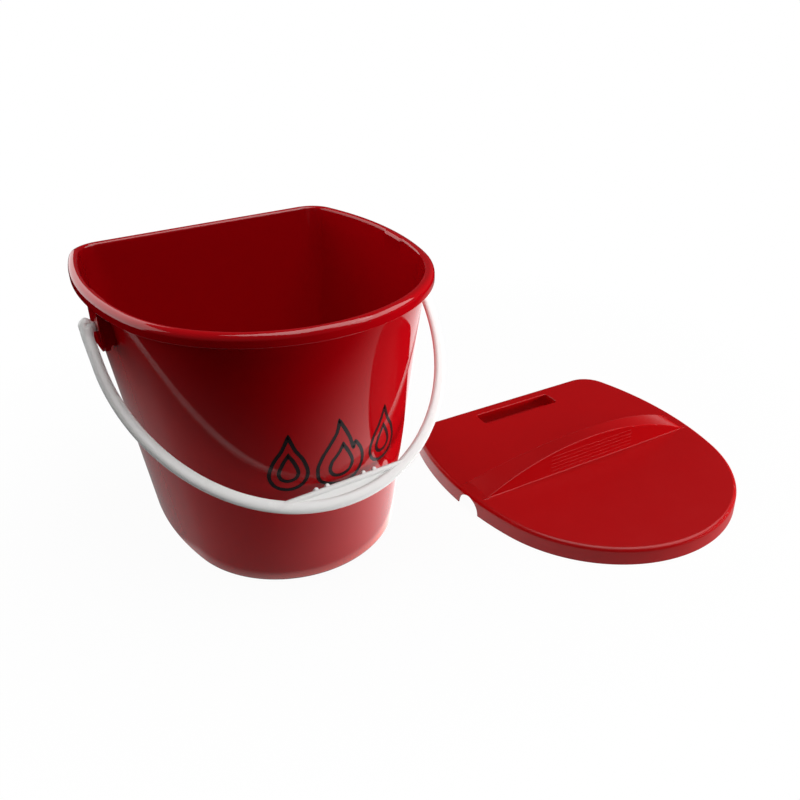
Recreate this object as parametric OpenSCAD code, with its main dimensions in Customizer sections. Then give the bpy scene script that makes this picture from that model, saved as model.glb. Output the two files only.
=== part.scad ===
// A flat-backed fire bucket with a swinging bail handle and a lift-off lid.
// Millimetres. The origin is the middle of the base, on the floor, and +Z is up.
// The rounded front faces -Y and the flat back, which hangs against a wall, faces +Y.
// Every outline is a D: one arc round the front, a flatter arc along each side,
// a small arc at each back corner and a straight back.

/* [Bucket] */
// Width of the rim from side to side
rim_width = 300; // [280:1:320]
// Depth of the rim from its rounded front to its flat back
rim_depth = 306; // [290:1:322]
// Height from the floor to the top of the rim
bucket_height = 266.5; // [240:0.5:290]
// Width of the base
base_width = 220.5; // [205:0.5:235]
// Depth of the base from front to back
base_depth = 242.5; // [230:0.5:255]
// How far the back leans out between the base and the rim
back_lean = 20.3; // [12:0.1:28]
// Thickness of the walls
wall = 2.2; // [1.6:0.1:3]
// Thickness of the floor
floor_thickness = 2.6; // [2:0.1:4]
// Radius of the edge round the foot
foot_radius = 6.5; // [4:0.5:9]
// Width of the flat ring that the bucket stands on
foot_ring = 6; // [4:0.5:10]
// Depth of the recess inside that ring
base_recess = 2.5; // [1:0.1:4]

/* [D outline] */
// How far each side stands out beyond the radius of the front
side_bulge = 6; // [3:0.5:10]
// Radius of the sides at the rim
rim_side_radius = 323; // [280:1:380]
// Radius of the sides at the base
base_side_radius = 303; // [260:1:360]
// Radius of the back corners at the rim
rim_corner_radius = 31; // [25:0.5:38]
// Radius of the back corners at the base
base_corner_radius = 25; // [19:0.5:30]

/* [Rim] */
// How far the rim stands out from the wall
rim_overhang = 6.7; // [6:0.1:9]
// Height of the skirt that hangs from the rim
rim_skirt = 10.6; // [8:0.1:14]
// Thickness of the rim
rim_thickness = 2.2; // [1.6:0.1:3]
// Radius of the outer edge on top of the rim
rim_radius = 5.4; // [3:0.1:6]
// Radius of the inner edge on top of the rim
lip_radius = 1.6; // [0.8:0.1:2.4]

/* [Lugs] */
// Depth of the hinge axis below the top of the rim
hinge_drop = 27; // [24:0.5:32]
// Distance of the hinge axis behind the middle of the base
hinge_back = -1; // [-10:0.5:10]
// Width of each lug plate
lug_width = 30; // [24:0.5:36]
// How far each lug plate reaches below the hinge axis
lug_drop = 18.6; // [14:0.1:24]
// Thickness of each lug plate
lug_thickness = 3; // [2:0.1:4]
// How far each lug plate lies inside the widest place of the rim
lug_inset = 2.8; // [2.4:0.1:3.4]
// Radius of the lower corners of the lug plates
lug_corner = 5; // [2:0.5:8]
// Thickness of the webs that join the lug plates to the wall
lug_web = 2.4; // [1.6:0.1:3.2]
// Distance of each web from the edge of its plate
web_setback = 4; // [2:0.5:6]
// Height of the step in the lower edge of each web
web_step = 3.5; // [2:0.5:6]

/* [Bail handle] */
// Width of the bail at its arms
arm_width = 9.4; // [8:0.1:12]
// Width of the bail at the bottom of its curve
band_width = 11; // [9:0.1:13]
// Thickness of the bail
bail_thickness = 6.3; // [5.8:0.1:8]
// Length of the straight stretch of each arm below the hinge axis
arm_length = 34; // [25:0.5:45]
// Depth of the curve below the straight arms
curve_depth = 171; // [160:0.5:190]
// How far the round end of each arm reaches above the hinge axis
hub_reach = 7; // [6:0.1:10]
// Gap between each arm and the widest place of the rim
swing_gap = 0.5; // [0.4:0.1:2]
// Gap between the resting bail and the front of the bucket
rest_gap = 0.3; // [0.2:0.1:1]
// Radius of the pegs that the bail turns on
peg_radius = 2.9; // [2.4:0.1:3]
// Gap round each peg in its lug
peg_gap = 0.1; // [0.05:0.01:0.4]
// Radius of the shoulder between each arm and its lug
shoulder_radius = 4.6; // [3.6:0.1:6]
// Gap between the shoulders, the peg heads and the lug plates
side_gap = 0.3; // [0.2:0.1:0.6]
// Radius of the heads that keep the pegs in the lugs
head_radius = 3.9; // [3.5:0.1:4.5]
// Length of the heads on the pegs
head_length = 2.6; // [2:0.1:3]

/* [Grip] */
// Depth of the grip from its inner face to the outer edge of the bail
grip_depth = 21.7; // [19:0.1:26]
// Width of the inner bar of the grip
grip_bar = 5.2; // [4:0.1:7]
// Thickness of the web between the bar and the bail
grip_web = 2.4; // [1.6:0.1:4]
// Radius of the finger ribs on the bar
grip_rib = 2; // [1:0.1:3]
// Distance of the inner finger ribs from the middle of the grip
grip_rib_place = 17.5; // [12:0.5:22]
// Distance between the two finger ribs of a pair
grip_rib_pitch = 10.5; // [6:0.5:14]

/* [Lid] */
// Height of the lid without its ridge
lid_height = 18; // [16:0.1:24]
// Thickness of the top of the lid
lid_thickness = 2.2; // [1.6:0.1:3]
// Thickness of the skirt of the lid
skirt_wall = 1.4; // [1:0.1:2]
// Gap between the skirt of the lid and the rim
lid_gap = 0.4; // [0.2:0.1:1]
// How far the skirt spreads towards its lower edge
lid_flare = 0.4; // [0:0.1:1]
// Radius of the edge round the top of the lid
lid_radius = 4.4; // [3:0.1:5]
// Gap round each lug in the notches of the skirt
notch_gap = 0.5; // [0.3:0.1:2]
// Distance between the lid and the rim where the lid lies on the floor
beside_gap = 6; // [4:0.5:60]
// Distance of the middle of the lid in front of the middle of the base
lid_forward = 118.6; // [80:0.1:180]
// Turn of the lid on the floor, clockwise in degrees
lid_turn = 3.1; // [0:0.1:6]

/* [Pinch ridge] */
// Length of the ridge across the lid
ridge_length = 274; // [250:1:280]
// Height of the ridge above the lid
ridge_height = 32; // [24:0.5:36]
// Distance of the front face of the ridge in front of the middle of the base
ridge_forward = 15.9; // [10:0.1:24]
// Width of the ridge in the middle
ridge_waist = 16.8; // [12:0.1:22]
// Width of the ridge at its two ends
ridge_end = 34; // [28:0.5:40]
// Thickness of the walls of the hollow ridge
ridge_wall = 2; // [1.6:0.1:3]
// Number of fine grip lines on the front face of the ridge
line_count = 5; // [3:1:5]
// Distance between the grip lines
line_pitch = 4.5; // [3.5:0.1:5]
// Length of the grip lines
line_length = 112; // [80:1:120]
// Radius of the grip lines
line_radius = 0.4; // [0.3:0.1:1.2]

/* [Finger slot] */
// Length of the slot near the back of the lid
slot_length = 106; // [80:1:120]
// Width of the slot
slot_width = 22; // [18:0.5:26]
// Depth of the slot
slot_depth = 15; // [10:0.1:15]
// Distance of the slot from the back of the rim
slot_setback = 12.7; // [12:0.1:20]
// Thickness of the walls round the slot
slot_wall = 1.8; // [1.2:0.1:1.8]
// Radius of the corners of the slot
slot_corner = 4; // [1:0.1:5]

/* [Hidden] */
bucket_red = [0.72, 0.02, 0.05];
lid_red = [0.66, 0.02, 0.06];
handle_white = [0.88, 0.88, 0.86];
$fn = 64;
// Steps along half of a D: front arc, side arc and corner arc
front_steps = 14;
side_steps = 6;
corner_steps = 7;
// Steps of a quarter-circle edge and of the bail's curve
edge_steps = 4;
curve_steps = 44;
// Points round the bail and how square its rounded section is
section_steps = 16;
section_squareness = 2.8;
// Overlap that fuses pieces of one moulding, how far cuts run past a face
// and how far the lugs reach up into the rim
fuse = 1;
past = 5;
rim_bite = 0.5;

front_slope = (rim_depth - rim_overhang - base_depth - back_lean) / bucket_height;
rim_back_y = base_depth / 2 + back_lean;
lip_inset = wall - lip_radius;
under_radius = rim_radius - rim_thickness;
inside_floor = base_recess + floor_thickness;
inside_radius = max(1, foot_radius - wall);

hinge_z = bucket_height - hinge_drop;
lug_top = bucket_height - rim_thickness + rim_bite;
lug_outer = rim_width / 2 - lug_inset;
lug_inner = lug_outer - lug_thickness;
arm_inner = rim_width / 2 + swing_gap;
arm_middle = arm_inner + arm_width / 2;
bore_radius = peg_radius + peg_gap;

bail_length = arm_length + curve_depth + band_width / 2;
grip_inner = bail_length - grip_depth;
grip_middle = grip_inner + grip_bar / 2;
grip_half = arm_middle * sqrt(1 - pow((grip_middle - arm_length) / curve_depth, 2));

lid_grow = lid_gap + skirt_wall;
lid_width = rim_width + 2 * lid_grow;
lid_x = (rim_width + lid_width) / 2 + beside_gap;
arch_radius = (pow(ridge_length / 2, 2) + pow(ridge_height, 2)) / (2 * ridge_height);
ridge_bow = ridge_end - ridge_waist;
bow_radius = (pow(ridge_length / 2, 2) + pow(ridge_bow, 2)) / (2 * ridge_bow);
slot_y = rim_back_y - slot_setback - slot_width / 2;
notch_radius = lug_width / 2 + notch_gap;

// A value between a and b
function between(a, b, f) = a + (b - a) * f;

// The sizes of the wall's D at a share f of the bucket's height, moved in by inset:
// half width, depth, y of the back, side radius and corner radius
function d_sizes(f, inset) = [
    between(base_width, rim_width - 2 * rim_overhang, f) / 2 - inset,
    between(base_depth, rim_depth - 2 * rim_overhang, f) - 2 * inset,
    between(base_depth / 2, rim_back_y - rim_overhang, f) - inset,
    between(base_side_radius, rim_side_radius - rim_overhang, f) - inset,
    between(base_corner_radius, rim_corner_radius - rim_overhang, f) - inset
];

// Points on an arc, up to but without its last point
function arc(middle, r, from, to, steps) = [
    for (i = [0 : steps - 1])
        let (a = between(from, to, i / steps))
            [middle[0] + r * cos(a), middle[1] + r * sin(a)]
];

// The middle of the side arc of a D
function side_middle(d) =
    let (front_r = d[0] - side_bulge, turn = -acos((d[3] - d[0]) / (d[3] - front_r)))
        [(front_r - d[3]) * cos(turn), d[2] - d[1] + front_r + (front_r - d[3]) * sin(turn)];

// The right half of a D from the middle of its front to its back corner
function half_d(d) =
    let (
        front_r = d[0] - side_bulge,
        front_middle = [0, d[2] - d[1] + front_r],
        side = side_middle(d),
        front_end = -acos((d[3] - d[0]) / (d[3] - front_r)),
        side_end = asin((d[2] - d[4] - side[1]) / (d[3] - d[4])),
        corner = side + (d[3] - d[4]) * [cos(side_end), sin(side_end)]
    )
        concat(
            arc(front_middle, front_r, -90, front_end, front_steps),
            arc(side, d[3], front_end, side_end, side_steps),
            arc(corner, d[4], side_end, 90, corner_steps),
            [[corner[0], d[2]]]
        );

// The whole D at height z, counter-clockwise from the middle of its front
function d_ring(f, inset, z) =
    let (half = half_d(d_sizes(f, inset)), n = len(half))
        [
            for (p = half) [p[0], p[1], z],
            for (i = [1 : n - 1]) [-half[n - i][0], half[n - i][1], z]
        ];

// The D of the wall itself at height z
function wall_ring(inset, z) = d_ring(z / bucket_height, inset, z);

// The D of the rim, or of what fits round it, grown by grow
function rim_ring(grow, z) = d_ring(1, -rim_overhang - grow, z);

// The x of the wall's outer face at the side of the bucket, at y and z
function wall_x(y, z) =
    let (d = d_sizes(z / bucket_height, 0), side = side_middle(d))
        side[0] + sqrt(pow(d[3], 2) - pow(y - side[1], 2));

// Angles from one end of a rounded edge to the other
function edge_angles(from, to) = [for (i = [0 : edge_steps]) between(from, to, i / edge_steps)];

// A solid skin through rings of equally many points, closed at both ends
module loft(rings) {
    n = len(rings[0]);
    last = len(rings) - 1;
    skin = [
        for (k = [0 : last - 1], i = [0 : n - 1])
            let (a = k * n + i, b = k * n + (i + 1) % n)
                each [[a, a + n, b + n], [a, b + n, b]]
    ];
    bottom = [for (i = [0 : n - 1]) i];
    top = [for (i = [n - 1 : -1 : 0]) last * n + i];
    polyhedron(points = [for (ring = rings) each ring], faces = concat([bottom], skin, [top]));
}

// A rectangle with round corners, centred
module rounded_rectangle(w, h, r) {
    square([w - 2 * r, h], center = true);
    square([w, h - 2 * r], center = true);
    for (x = [-1, 1], y = [-1, 1])
        translate([x * (w / 2 - r), y * (h / 2 - r)])
            circle(r);
}

// The moulded shell: foot, wall, round rim with its hanging skirt, lip, inside and floor
module bucket_shell() {
    loft(concat(
        [for (a = edge_angles(0, 90)) wall_ring(foot_radius * (1 - sin(a)), foot_radius * (1 - cos(a)))],
        [wall_ring(0, bucket_height - rim_thickness)],
        [
            for (a = edge_angles(90, 0))
                rim_ring(
                    -rim_thickness - under_radius * (1 - cos(a)),
                    bucket_height - rim_thickness - under_radius * (1 - sin(a))
                )
        ],
        [for (grow = [-rim_thickness, 0]) rim_ring(grow, bucket_height - rim_skirt)],
        [
            for (a = edge_angles(0, 90))
                rim_ring(-rim_radius * (1 - cos(a)), bucket_height - rim_radius * (1 - sin(a)))
        ],
        [
            for (a = edge_angles(0, 90))
                d_ring(1, lip_inset + lip_radius * sin(a), bucket_height - lip_radius * (1 - cos(a)))
        ],
        [
            for (a = edge_angles(0, 90))
                wall_ring(wall + inside_radius * (1 - cos(a)), inside_floor + inside_radius * (1 - sin(a)))
        ]
    ));
}

// The recess under the base, inside the ring that the bucket stands on
module base_hollow() {
    loft([for (z = [-past, base_recess]) d_ring(0, foot_radius + foot_ring, z)]);
}

// The plate that carries one peg of the bail, below the rim
module lug_plate() {
    bottom = hinge_z - lug_drop;
    translate([lug_inner, hinge_back, 0])
        rotate([90, 0, 90])
            linear_extrude(lug_thickness) {
                translate([0, (lug_top + bottom) / 2])
                    rounded_rectangle(lug_width, lug_top - bottom, lug_corner);
                translate([-lug_width / 2, lug_top - 2 * lug_corner])
                    square([lug_width, 2 * lug_corner]);
            }
}

// A web that ties the plate to the slanting wall, with a step in its lower edge
module lug_tie(y) {
    bottom = hinge_z - lug_drop + web_step / 2;
    middle = (lug_inner + wall_x(y, bottom)) / 2;
    translate([0, y + lug_web / 2, 0])
        rotate([90, 0, 0])
            linear_extrude(lug_web)
                polygon([
                    [lug_inner + fuse, bottom],
                    [lug_inner + fuse, lug_top],
                    [wall_x(y, lug_top) - wall / 2, lug_top],
                    [wall_x(y, bottom + web_step) - wall / 2, bottom + web_step],
                    [middle, bottom + web_step],
                    [middle, bottom]
                ]);
}

// The right-hand lug before its bore is made
module lug() {
    tie_place = lug_width / 2 - web_setback - lug_web / 2;
    lug_plate();
    lug_tie(hinge_back - tie_place);
    lug_tie(hinge_back + tie_place);
}

module bucket() {
    color(bucket_red)
        difference() {
            union() {
                bucket_shell();
                lug();
                mirror([1, 0, 0])
                    lug();
            }
            base_hollow();
            for (side = [-1, 1])
                translate([side * (lug_inner + lug_thickness / 2), hinge_back, hinge_z])
                    rotate([0, 90, 0])
                        cylinder(r = bore_radius, h = lug_thickness + 2 * fuse, center = true);
        }
}

// One point of a rounded section, w across and t thick, at angle a
function section_point(w, t, a) =
    let (power = 2 / section_squareness)
        [
            sign(cos(a)) * pow(abs(cos(a)), power) * w / 2,
            sign(sin(a)) * pow(abs(sin(a)), power) * t / 2
        ];

// The whole rounded section
function section(w, t) = [for (i = [0 : section_steps - 1]) section_point(w, t, i * 360 / section_steps)];

// The section set across the bail at place [x, z], with its width along outward
function bail_ring(place, outward, w, t) = [
    for (p = section(w, t)) [place[0] + outward[0] * p[0], p[1], place[1] + outward[1] * p[0]]
];

// Rings of the round upper end of the left arm and of its straight stretch
function arm_rings() =
    let (r = arm_width / 2)
        concat(
            [
                for (a = [12 : 13 : 90])
                    bail_ring(
                        [-arm_middle, hub_reach - r * (1 - cos(a))],
                        [-1, 0],
                        arm_width * sin(a),
                        bail_thickness * between(0.7, 1, sin(a))
                    )
            ],
            [
                for (z = [0, -arm_length / 2])
                    bail_ring([-arm_middle, z], [-1, 0], arm_width, bail_thickness)
            ]
        );

// Rings round the half ellipse, from the left arm to the right arm
function curve_rings() = [
    for (i = [0 : curve_steps])
        let (
            a = 180 + 180 * i / curve_steps,
            across = [curve_depth * cos(a), arm_middle * sin(a)]
        )
            bail_ring(
                [arm_middle * cos(a), curve_depth * sin(a) - arm_length],
                across / norm(across),
                between(arm_width, band_width, sqrt(max(0, -sin(a)))),
                bail_thickness
            )
];

// A ring mirrored to the right arm
function mirrored(ring) = [for (p = ring) [-p[0], p[1], p[2]]];

// The bail itself: two arms and the curve in one sweep
module bail_band() {
    left = arm_rings();
    last = len(left) - 1;
    loft(concat(left, curve_rings(), [for (i = [0 : last]) mirrored(left[last - i])]));
}

// The inner bar of the grip, straight across the bottom of the curve
module grip_inner_bar() {
    translate([0, 0, -grip_middle])
        rotate([0, 90, 0])
            linear_extrude(2 * grip_half, center = true)
                polygon(section(grip_bar, bail_thickness));
}

// The thin web that fills the space between the bar and the curve
module grip_filling() {
    rotate([90, 0, 0])
        linear_extrude(grip_web, center = true)
            polygon([
                for (i = [0 : curve_steps])
                    let (x = between(-grip_half, grip_half, i / curve_steps))
                        [x, -arm_length - curve_depth * sqrt(1 - pow(x / arm_middle, 2))]
            ]);
}

// The grip: bar, web and two pairs of finger ribs
module grip() {
    grip_inner_bar();
    grip_filling();
    for (side = [-1, 1], place = [0, grip_rib_pitch])
        translate([side * (grip_rib_place + place), 0, -grip_inner])
            rotate([90, 0, 0])
                cylinder(r = grip_rib, h = bail_thickness - grip_rib / 2, center = true);
}

// The peg of the right arm: shoulder, shaft through the lug and the head that keeps it there
module peg() {
    rotate([0, 90, 0]) {
        translate([0, 0, lug_outer + side_gap])
            cylinder(r = shoulder_radius, h = arm_inner + fuse - lug_outer - side_gap);
        translate([0, 0, lug_inner - side_gap - head_length / 2])
            cylinder(r = peg_radius, h = arm_middle - lug_inner);
        translate([0, 0, lug_inner - side_gap - head_length])
            cylinder(r1 = peg_radius, r2 = head_radius, h = head_length);
    }
}

// The bail hanging straight down from the hinge axis
module hanging_bail() {
    bail_band();
    grip();
    peg();
    mirror([1, 0, 0])
        peg();
}

// The angle from straight down at which a point of the bail, v from the axis, meets the front wall.
// bend is how far the round front falls back where the point touches it.
function stop_angle(v, bend) =
    let (
        back = bail_thickness / 2,
        along = v + front_slope * back,
        across = front_slope * v - back,
        reach = base_depth / 2 + front_slope * hinge_z + hinge_back + rest_gap - bend
    )
        asin(reach / norm([along, across])) - atan2(across, along);

// The round front falls back by this much at the finger ribs
rib_bend = pow(grip_rib_place, 2) / (base_width + rim_width) * 2;
rest_angle = max(stop_angle(grip_inner, 0), stop_angle(grip_inner - grip_rib, rib_bend));

module handle() {
    color(handle_white)
        translate([0, hinge_back, hinge_z])
            rotate([-rest_angle, 0, 0])
                hanging_bail();
}

// The lid's top and skirt, open below
module lid_shell() {
    inner = lid_gap;
    loft(concat(
        [rim_ring(inner, lid_height - lid_thickness)],
        [rim_ring(inner + lid_flare, 0), rim_ring(lid_grow + lid_flare, 0)],
        [
            for (a = edge_angles(0, 90))
                rim_ring(lid_grow - lid_radius * (1 - cos(a)), lid_height - lid_radius * (1 - sin(a)))
        ]
    ));
}

// The ridge as a solid, drawn in by inset all round: an arch across the lid,
// cut to a straight front face and to a rear face that bows in towards the middle
module ridge_solid(inset, bottom) {
    front_y = inset - ridge_forward;
    bow_y = ridge_waist - ridge_forward + bow_radius;
    intersection() {
        translate([0, 0, lid_height + ridge_height - arch_radius])
            rotate([90, 0, 0])
                cylinder(r = arch_radius - inset, h = 4 * ridge_end, center = true, $fn = 180);
        translate([0, 0, bottom])
            linear_extrude(lid_height + ridge_height)
                difference() {
                    translate([-ridge_length / 2, front_y])
                        square([ridge_length, 2 * ridge_end]);
                    translate([0, bow_y])
                        circle(bow_radius + inset, $fn = 180);
                }
    }
}

// The fine lines that give the fingers hold on the front face of the ridge
module grip_lines() {
    for (i = [1 : line_count])
        translate([0, -ridge_forward, lid_height + i * line_pitch])
            rotate([0, 90, 0])
                cylinder(r = line_radius, h = line_length, center = true, $fn = 24);
}

// The slot's own shape, grown by grow, from a height upwards
module slot_shape(grow, from, height) {
    translate([0, slot_y, from])
        linear_extrude(height)
            rounded_rectangle(slot_length + 2 * grow, slot_width + 2 * grow, slot_corner + grow);
}

// The lid as it sits over the rim, with its lower edge at zero
module level_lid() {
    slot_bottom = lid_height - slot_depth;
    difference() {
        union() {
            lid_shell();
            ridge_solid(0, lid_height - fuse);
            grip_lines();
            slot_shape(slot_wall, slot_bottom - slot_wall, slot_depth + slot_wall - fuse);
        }
        ridge_solid(ridge_wall, lid_height - lid_thickness - fuse);
        slot_shape(0, slot_bottom, slot_depth + past);
        translate([0, hinge_back, 0])
            rotate([0, 90, 0])
                cylinder(r = notch_radius, h = 2 * rim_width, center = true);
    }
}

module lid() {
    color(lid_red)
        translate([lid_x, -lid_forward, 0])
            rotate([0, 0, -lid_turn])
                level_lid();
}

bucket();
handle();
lid();
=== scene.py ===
"""Looks of a flat-backed fire bucket with a swinging bail and a lift-off lid.

Sizes are millimetres in the part's own frame until a mesh is made, which is in metres.
The camera, the lamps and the shading of the floor are given in metres.
The rounded front faces -Y, the flat back +Y, and the middle of the base is the origin.
"""

import math

import bmesh
import bpy
from mathutils import Matrix, Vector


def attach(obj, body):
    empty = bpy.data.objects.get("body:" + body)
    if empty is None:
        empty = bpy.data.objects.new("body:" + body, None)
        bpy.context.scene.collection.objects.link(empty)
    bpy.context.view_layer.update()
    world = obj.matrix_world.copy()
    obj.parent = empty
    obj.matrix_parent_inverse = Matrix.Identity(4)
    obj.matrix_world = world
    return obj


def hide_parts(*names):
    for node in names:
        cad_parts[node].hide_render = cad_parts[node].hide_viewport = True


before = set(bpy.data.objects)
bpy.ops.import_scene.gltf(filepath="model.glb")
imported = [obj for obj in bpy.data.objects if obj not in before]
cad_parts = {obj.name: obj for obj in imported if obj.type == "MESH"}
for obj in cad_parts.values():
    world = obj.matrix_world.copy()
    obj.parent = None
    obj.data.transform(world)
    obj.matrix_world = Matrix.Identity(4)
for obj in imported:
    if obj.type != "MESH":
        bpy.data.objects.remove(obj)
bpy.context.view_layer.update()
scene = bpy.context.scene
MM = 0.001
# Faces larger than this, in square metres, are true flats
FLAT_AREA = 0.0002
# Points nearer to each other than this, in metres, are one point
SAME_POINT = 1e-7
# Edges sharper than this, in degrees, are softened, in this many steps
SOFTEN_FROM, SOFTEN_STEPS = 35, 3
# Where a Mix node has its two colours among its inputs, and the mixed one among its outputs
FIRST_COLOUR, SECOND_COLOUR, MIXED_COLOUR = 6, 7, 2
# An outline's x and y are laid along Y and Z, and its depth along X
ALONG_X = Matrix(((0, 0, 1, 0), (1, 0, 0, 0), (0, 1, 0, 0), (0, 0, 0, 1)))
# An outline's x and y are laid along X and Z, and its depth along -Y
UPRIGHT = Matrix(((1, 0, 0, 0), (0, 0, -1, 0), (0, 1, 0, 0), (0, 0, 0, 1)))

# Camera of the photograph: angles in degrees, place in metres, focal length in its pixels
CAMERA_YAW, CAMERA_PITCH, CAMERA_ROLL = -32.3313, 28.9867, -0.5973
CAMERA_PLACE = (-0.25812, -0.63910, 0.49954)
FOCAL_PIXELS, PHOTO_PIXELS, SENSOR_WIDTH = 798.835, 800, 36

# Bucket
RIM_WIDTH, RIM_DEPTH, BUCKET_HEIGHT = 300.0, 306.0, 266.5
BASE_WIDTH, BASE_DEPTH, BACK_LEAN = 220.5, 242.5, 20.3
WALL, FLOOR_THICKNESS = 2.2, 2.6
FOOT_RADIUS, FOOT_RING, FOOT_EDGE, BASE_RECESS = 6.5, 6.0, 0.5, 2.5
SIDE_BULGE = 6.0
RIM_SIDE_RADIUS, BASE_SIDE_RADIUS = 323.0, 303.0
RIM_CORNER_RADIUS, BASE_CORNER_RADIUS = 31.0, 25.0
RIM_OVERHANG, RIM_SKIRT, RIM_THICKNESS = 6.7, 10.6, 2.2
RIM_RADIUS, LIP_RADIUS, UNDER_RADIUS, SKIRT_EDGE = 5.4, 3.0, 3.2, 0.6
# Pads of the inner lip beside the lugs: where they lie, and how much further they reach in and down
PAD_SIDE, PAD_FRONT, PAD_BACK = 100, -18, 16
PAD_REACH, PAD_DROP = 1.6, 1.4
# How far in from a rounding the first ring of a flat lies: under the base and on the floor inside
BASE_FLAT, FLOOR_FLAT = 8, 6
# Points of the D further from the middle than this are on one of its sides
SIDE_FROM = 50
# Steps along the front, a side, a corner and half the back of the D, and up the wall
FRONT_STEPS, SIDE_STEPS, CORNER_STEPS, BACK_STEPS, WALL_STEPS = 44, 70, 20, 8, 26

# Lugs
HINGE_DROP, LUG_SETBACK, LUG_TOP_GAP = 27.0, 2.8, 0.6
HINGE_Y, HINGE_Z = -1.0, BUCKET_HEIGHT - HINGE_DROP
LUG_WIDTH, LUG_DROP, LUG_THICKNESS, LUG_CORNER, LUG_EDGE = 30.0, 18.6, 3.0, 5.0, 0.5
LUG_OUTER = RIM_WIDTH / 2 - LUG_SETBACK
LUG_INNER = LUG_OUTER - LUG_THICKNESS
BORE_RADIUS = 3.0
WEB_PLACE, WEB_THICKNESS, WEB_EDGE, WEB_ROOT = 13.2, 2.4, 0.25, 1
# Heights above the plate's lower end: where the web leaves the plate, and where its foot is measured
WEB_START, WEB_FOOT = 0.6, 4
# Scalloped lower edge of a web: shares of the way from plate to wall, and heights above the plate's end
WEB_SCALLOP = (
    (0.3, 0.8), (0.38, 3.2), (0.46, 4.6), (0.6, 4.7), (0.7, 3.8), (0.8, 3.3), (0.9, 4.4), (1.0, 5.6)
)

# Bail
ARM_WIDTH, BAND_WIDTH, BAIL_THICKNESS, ARM_GAP = 9.4, 10.6, 6.3, 0.5
ARM_LENGTH, CURVE_DEPTH, CURVE_STEPS = 34.0, 171.0, 150
ARM_INNER = RIM_WIDTH / 2 + ARM_GAP
ARM_MIDDLE = ARM_INNER + ARM_WIDTH / 2
ARM_RING_PLACES = (-16, -22, -28)
# How square the sections are: 2 is an ellipse, and more is squarer
BAIL_SQUARENESS, HUB_SQUARENESS, BAIL_POINTS, BAR_POINTS = 2.8, 2.2, 40, 36
HUB_REACH, HUB_WIDTH, HUB_THICKNESS, HUB_INWARD = 8.2, 11.8, 9.6, 1.6
# Rounded end of a hub: its length, the thickness left at its tip as a share, and how full it is
HUB_END, HUB_TIP, HUB_FULLNESS = 6.0, 0.45, 0.6
# Neck between hub and arm: its number of rings and their spacing
NECK_RINGS, NECK_STEP = 16, 0.8
DIMPLE_DEPTH, DIMPLE_WIDTH, DIMPLE_HEIGHT = 1.7, 1.6, 1.8
# Points of the bail further forward than this are on its front face
FACE_FROM = -1
GRIP_DEPTH, GRIP_BAR, GRIP_WEB, GRIP_BAR_STEPS, GRIP_WEB_STEPS = 21.7, 5.2, 2.4, 40, 80
GRIP_RIB, RIB_EDGE, RIB_PLACES, RIB_SHIFT, RIB_INSET = 2.0, 0.7, (17.5, 28.0), 1.7, 1
SIDE_GAP, PEG_RADIUS, PEG_ROOT, TURN_STEPS = 0.3, 2.9, 3, 64
SHOULDER_RADIUS, SHOULDER_END_RADIUS, SHOULDER_EDGE = 4.2, 4.0, 0.4
# Head of a peg: how far past the lug each ring lies, and its radius
PEG_HEAD = ((0, 3.7), (0.4, 3.9), (1.2, 3.7), (2.3, 3.1), (2.6, 2.6))
REST_ANGLE = 47.6

# Lid
LID_HEIGHT, LID_THICKNESS, LID_GAP, SKIRT_WALL, LID_FLARE = 18.0, 2.2, 0.4, 1.4, 0.4
LID_RADIUS, LID_INNER_RADIUS, LID_EDGE, NOTCH_GAP, NOTCH_REACH = 4.4, 1.2, 0.3, 0.5, 220
# How far in from a rounding the first ring of a flat lies: under the lid's top and on it
LID_UNDER_FLAT, LID_TOP_FLAT = 12, 8
LID_PLACE, LID_TURN = (307.8, -118.6), 3.1
RIDGE_LENGTH, RIDGE_HEIGHT, RIDGE_FORWARD = 274.0, 32.0, 15.9
RIDGE_WAIST, RIDGE_END, RIDGE_WALL, RIDGE_STEPS = 16.8, 34.0, 2.0, 96
RIDGE_EDGE, RIDGE_FOOT, RIDGE_ROOT, RIDGE_LIFT = 0.8, 1.0, 1.2, 0.02
# Where the ridge is low, its edge and foot take at most these shares of its height
EDGE_SHARE, FOOT_SHARE = 0.45, 0.5
# How far the ridge's body runs past its ends, and how steeply it dives into the lid there
RIDGE_OVERRUN, RIDGE_DIVE = 2.5, 0.3
HOLLOW_SETBACK, HOLLOW_STEPS, HOLLOW_RISE = 16, 60, 0.6
LINE_COUNT, LINE_PITCH, LINE_LENGTH, LINE_RADIUS, LINE_TIP = 5, 4.5, 112.0, 0.28, 0.01
SLOT_LENGTH, SLOT_WIDTH, SLOT_DEPTH, SLOT_SETBACK = 106.0, 22.0, 15.0, 12.7
SLOT_WALL, SLOT_CORNER, SLOT_LIP = 1.8, 4.0, 1.2
# How far a cutting block starts outside the face that it opens
OVERCUT = 1
# How far below the lid's top the walls of the slot's pocket end
POCKET_SETBACK = 1

# Painted outlines on the front of the wall
PAINT_WIDTH, PAINT_HEIGHT, PAINT_ROOT, PAINT_STEPS = 3.2, 0.12, 0.3, 10
# Least cosine by which a corner's line is widened, so that it doesn't run out into a spike
SPIKE_LIMIT = 0.55
# Points of an outline nearer to each other than this are one corner
SAME_CORNER = 1e-6
FLAME_HEIGHT, DROP_HEIGHT, DROP_SPACING = 141, 139, 46

RIM_BACK = BASE_DEPTH / 2 + BACK_LEAN
FOOT_FRONT = BASE_WIDTH / 2 - SIDE_BULGE
FOOT_CENTRE = (0, FOOT_FRONT - BASE_DEPTH / 2, 0)

# Floor: half its side and its level, in millimetres
FLOOR_REACH, FLOOR_LEVEL = 6000, -0.15
# Shares by which places are drawn together first, which makes the painted pool of light and the painted
# reflection on the floor longer along X, and the middle of that part among the drawn-in places, in metres
LIT_SQUEEZE, LIT_MIDDLE = (0.8, 1, 1), (0.12, 0.1, 0)
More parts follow.
